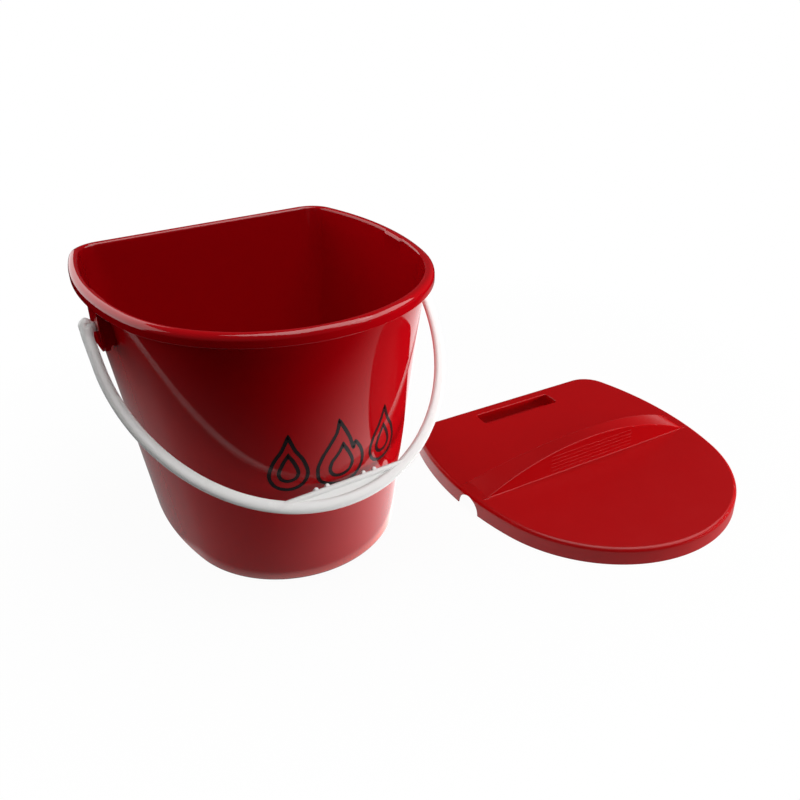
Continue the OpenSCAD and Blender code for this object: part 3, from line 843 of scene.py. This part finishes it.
def mark_lines():
    """A flame between two drops, each an outline with a smaller one inside it."""
    flame = [
        (0, -33), (13, -30), (20.5, -19), (20, -6), (13.5, 6), (12, 3), (11, 1), (7.5, 12),
        (3, 22), (-3, 33), (-3, 33), (-5, 22), (-11, 11), (-18, -1), (-21.5, -13), (-18, -26),
    ]
    heart = [
        (0, -24), (7.5, -21), (10.5, -13), (7, -3), (1, 8), (1, 8),
        (-3, 0), (-9, -8), (-10.5, -16), (-7, -22),
    ]
    drop = [
        (0, -26), (11, -22), (16, -11), (12.5, 3), (5.5, 15), (0, 29), (0, 29),
        (-5.5, 15), (-12.5, 3), (-16, -11), (-11, -22),
    ]
    core = [
        (0, -17), (6, -14.5), (8, -8), (4.5, 2), (0, 10), (0, 10),
        (-4.5, 2), (-8, -8), (-6, -14.5),
    ]
    lines = []
    for name, outer, inner, centre in (
        ("flame", flame, heart, (0, FLAME_HEIGHT)),
        ("drop_left", drop, core, (-DROP_SPACING, DROP_HEIGHT)),
        ("drop_right", drop, core, (DROP_SPACING, DROP_HEIGHT)),
    ):
        lines.append(painted_line(name + "_outer", outer, centre))
        lines.append(painted_line(name + "_inner", inner, centre))
    return lines


# Stage


def total(tree, *shares):
    """The sum of (output, weight) pairs, where a weight is a number or another output."""
    last = None
    for output, weight in shares:
        node = tree.nodes.new("ShaderNodeMath")
        node.operation = "MULTIPLY_ADD"
        node.inputs[2].default_value = 0
        wire(tree, output, node.inputs[0])
        if isinstance(weight, (int, float)):
            node.inputs[1].default_value = weight
        else:
            wire(tree, weight, node.inputs[1])
        if last:
            wire(tree, last, node.inputs[2])
        last = node.outputs[0]
    return last


def smooth_step(tree, value, low, high, bottom=0.0, top=1.0):
    """Goes softly from bottom to top as value goes from low to high."""
    node = tree.nodes.new("ShaderNodeMapRange")
    node.interpolation_type = "SMOOTHSTEP"
    node.inputs["From Min"].default_value = low
    node.inputs["From Max"].default_value = high
    node.inputs["To Min"].default_value = bottom
    node.inputs["To Max"].default_value = top
    wire(tree, value, node.inputs["Value"])
    return node.outputs["Result"]


def vector_step(tree, operation, source, value):
    """A vector node that works on source with a fixed second vector."""
    node = tree.nodes.new("ShaderNodeVectorMath")
    node.operation = operation
    node.inputs[1].default_value = value
    wire(tree, source, node.inputs[0])
    return node


def fixed_mix(tree, share, first, second):
    """A colour that goes from first to second by share."""
    node = colour_mix(tree, share)
    node.inputs[FIRST_COLOUR].default_value = first
    node.inputs[SECOND_COLOUR].default_value = second
    return node.outputs[MIXED_COLOUR]


def painted_foot_highlight(tree, place, across):
    """A narrow glowing band of floor just in front of the foot, fainter on the left: a painted highlight
    along the foot.
    """
    from_foot = vector_step(tree, "DISTANCE", place, [MM * c for c in FOOT_CENTRE]).outputs["Value"]
    outside = smooth_step(tree, from_foot, MM * (FOOT_FRONT + BAND_END), MM * (FOOT_FRONT + BAND_FULL))
    inside = smooth_step(tree, from_foot, MM * FOOT_FRONT, MM * (FOOT_FRONT + BAND_START))
    in_front = smooth_step(tree, across, *BAND_LEFT_FADE, BAND_LEFT_SHARE, 1)
    return total(tree, (total(tree, (outside, inside)), in_front))


def white_floor():
    """White paper to the camera, its colour painted white near the object and black beyond as a painted pool
    of light, and brighter on the right in reflections, a painted reflection with a painted highlight along
    the foot.
    """
    reach = FLOOR_REACH
    sides = ((-reach, -reach), (reach, -reach), (reach, reach), (-reach, reach))
    floor = solid("floor", [(x, y, FLOOR_LEVEL) for x, y in sides], [(0, 1, 2, 3)])
    material = bpy.data.materials.new("white_sweep")
    material.use_nodes = True
    tree = material.node_tree
    ray = tree.nodes.new("ShaderNodeLightPath").outputs
    place = tree.nodes.new("ShaderNodeTexCoord").outputs["Object"]
    drawn_in = vector_step(tree, "MULTIPLY", place, LIT_SQUEEZE).outputs[0]
    away = vector_step(tree, "DISTANCE", drawn_in, LIT_MIDDLE).outputs["Value"]
    parts = tree.nodes.new("ShaderNodeSeparateXYZ")
    wire(tree, place, parts.inputs[0])
    across = parts.outputs["X"]

    paper = tree.nodes["Principled BSDF"]
    paper.inputs["Roughness"].default_value = 0.9
    paper.inputs["Specular IOR Level"].default_value = 0
    # The paper's colour fades from white near the object to black beyond: a painted pool of light
    lit = smooth_step(tree, away, *PAINTED_POOL_FADE)
    wire(tree, fixed_mix(tree, lit, BLACK, PAPER_WHITE), paper.inputs["Base Color"])

    # Glow that only glossy rays see, strongest near the object and on the right: a painted reflection
    near = smooth_step(tree, away, *PAINTED_REFLECTION_FADE)
    right = smooth_step(tree, across, *RIGHT_FADE, *PAINTED_REFLECTION_BRIGHTNESS)
    band = painted_foot_highlight(tree, place, across)
    mirrored = total(tree, (near, right), (band, FOOT_HIGHLIGHT_BRIGHTNESS))
    glow = tree.nodes.new("ShaderNodeEmission")
    camera, through, glossy = ray["Is Camera Ray"], ray["Is Transmission Ray"], ray["Is Glossy Ray"]
    # Reflections see the band at the foot tinted pink: a painted highlight
    wire(tree, fixed_mix(tree, total(tree, (glossy, band)), WHITE, FOOT_HIGHLIGHT_COLOUR), glow.inputs["Color"])
    wire(tree, total(tree, (camera, 1), (through, 1), (glossy, mirrored)), glow.inputs["Strength"])

    seen = smooth_step(tree, away, *SHADE_FADE, WHITE_NEAR, WHITE_FAR)
    mix = tree.nodes.new("ShaderNodeMixShader")
    wire(tree, total(tree, (camera, seen), (through, 1), (glossy, 1)), mix.inputs[0])
    wire(tree, paper.outputs[0], mix.inputs[1])
    wire(tree, glow.outputs[0], mix.inputs[2])
    wire(tree, mix.outputs[0], tree.nodes["Material Output"].inputs["Surface"])
    floor.data.materials.append(material)


def studio_world():
    """A dim room that the camera sees as white."""
    world = bpy.data.worlds.new("studio")
    world.use_nodes = True
    scene.world = world
    tree = world.node_tree
    room = tree.nodes["Background"]
    room.inputs["Color"].default_value = WHITE
    room.inputs["Strength"].default_value = ROOM_BRIGHTNESS
    white = tree.nodes.new("ShaderNodeBackground")
    white.inputs["Color"].default_value = WHITE
    white.inputs["Strength"].default_value = 1
    ray = tree.nodes.new("ShaderNodeLightPath").outputs
    share = total(
        tree,
        (ray["Is Camera Ray"], 1),
        (ray["Is Glossy Ray"], ROOM_IN_GLOSS),
        (ray["Is Transmission Ray"], 1),
    )
    mix = tree.nodes.new("ShaderNodeMixShader")
    wire(tree, share, mix.inputs[0])
    wire(tree, room.outputs[0], mix.inputs[1])
    wire(tree, white.outputs[0], mix.inputs[2])
    wire(tree, mix.outputs[0], tree.nodes["World Output"].inputs["Surface"])


def softbox(name, place, target, width, height, power, lights=True, mirrored=True):
    """A soft lamp at place that faces target; it can be kept off surfaces or out of reflections."""
    data = bpy.data.lights.new(name, "AREA")
    data.shape = "RECTANGLE"
    data.size = width
    data.size_y = height
    data.energy = power
    light = bpy.data.objects.new(name, data)
    light.location = place
    light.visible_diffuse = lights
    light.visible_glossy = mirrored
    light.rotation_euler = (Vector(target) - Vector(place)).to_track_quat("-Z", "Y").to_euler()
    scene.collection.objects.link(light)


# Assembly

set_camera()
moulded_surface = moulded_surface_group()
bucket_plastic = moulded_plastic(
    "glossy_red_plastic",
    colour=(0.43, 0.0008, 0.004),
    drift_colour=(0.37, 0.0005, 0.003),
    drift=0.35,
    smooth=0.03,
    dull=0.07,
    ripple_scale=45,
    ripple_height=0.00001,
    ior=1.48,
)
lid_plastic = moulded_plastic(
    "satin_red_plastic",
    colour=(0.41, 0.0004, 0.002),
    drift_colour=(0.37, 0.0003, 0.0015),
    drift=0.35,
    smooth=0.3,
    dull=0.34,
    ripple_scale=30,
    ripple_height=0.000003,
    ior=1.36,
)
bail_plastic = moulded_plastic(
    "white_plastic",
    colour=(0.86, 0.86, 0.85),
    drift_colour=(0.78, 0.78, 0.76),
    drift=0.3,
    smooth=0.2,
    dull=0.32,
    ripple_scale=60,
    ripple_height=0.00001,
    ior=1.45,
)
mark_paint = moulded_plastic(
    "black_paint",
    colour=(0.012, 0.006, 0.007),
    drift_colour=(0.025, 0.01, 0.012),
    drift=0.4,
    smooth=0.12,
    dull=0.25,
    ripple_scale=120,
    ripple_height=0.00001,
    ior=1.4,
)

shell = finished(bucket_shell(), bucket_plastic, "bucket")
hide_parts("bucket")
for side in (-1, 1):
    finished(lug(side), bucket_plastic, "bucket")
for line in mark_lines():
    finished(line, mark_paint, "bucket", 60)

hang = placed(0, HINGE_Y, HINGE_Z, Matrix.Rotation(math.radians(-REST_ANGLE), 4, "X"))
bail_pieces = [bail_band(), grip(), peg(-1), peg(1)]
for piece in bail_pieces:
    piece.data.transform(hang)
    finished(piece, bail_plastic, "handle")
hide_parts("handle")

lie = placed(*LID_PLACE, 0, Matrix.Rotation(math.radians(-LID_TURN), 4, "Z"))
lid_pieces = [lid_cover(), grip_lines()]
for piece in lid_pieces:
    piece.data.transform(lie)
    finished(piece, lid_plastic, "lid", 30)
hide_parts("lid")

white_floor()
studio_world()
softbox("left", (-0.73, 0.96, 0.64), (0.1, -0.03, 0.12), width=2.0, height=1.3, power=13)
softbox("right", (1.44, -0.61, 0.15), (0.05, -0.05, 0.14), width=1.8, height=0.3, power=38, mirrored=False)
softbox("overhead", (0.22, -0.27, 1.4), (0.14, -0.06, 0), width=1.1, height=1.1, power=14)
softbox("edge_light", (0.9, -0.56, 0.97), (0.25, -0.15, 0.05), width=1.2, height=0.8, power=10, lights=False)
scene.view_settings.view_transform = "Standard"
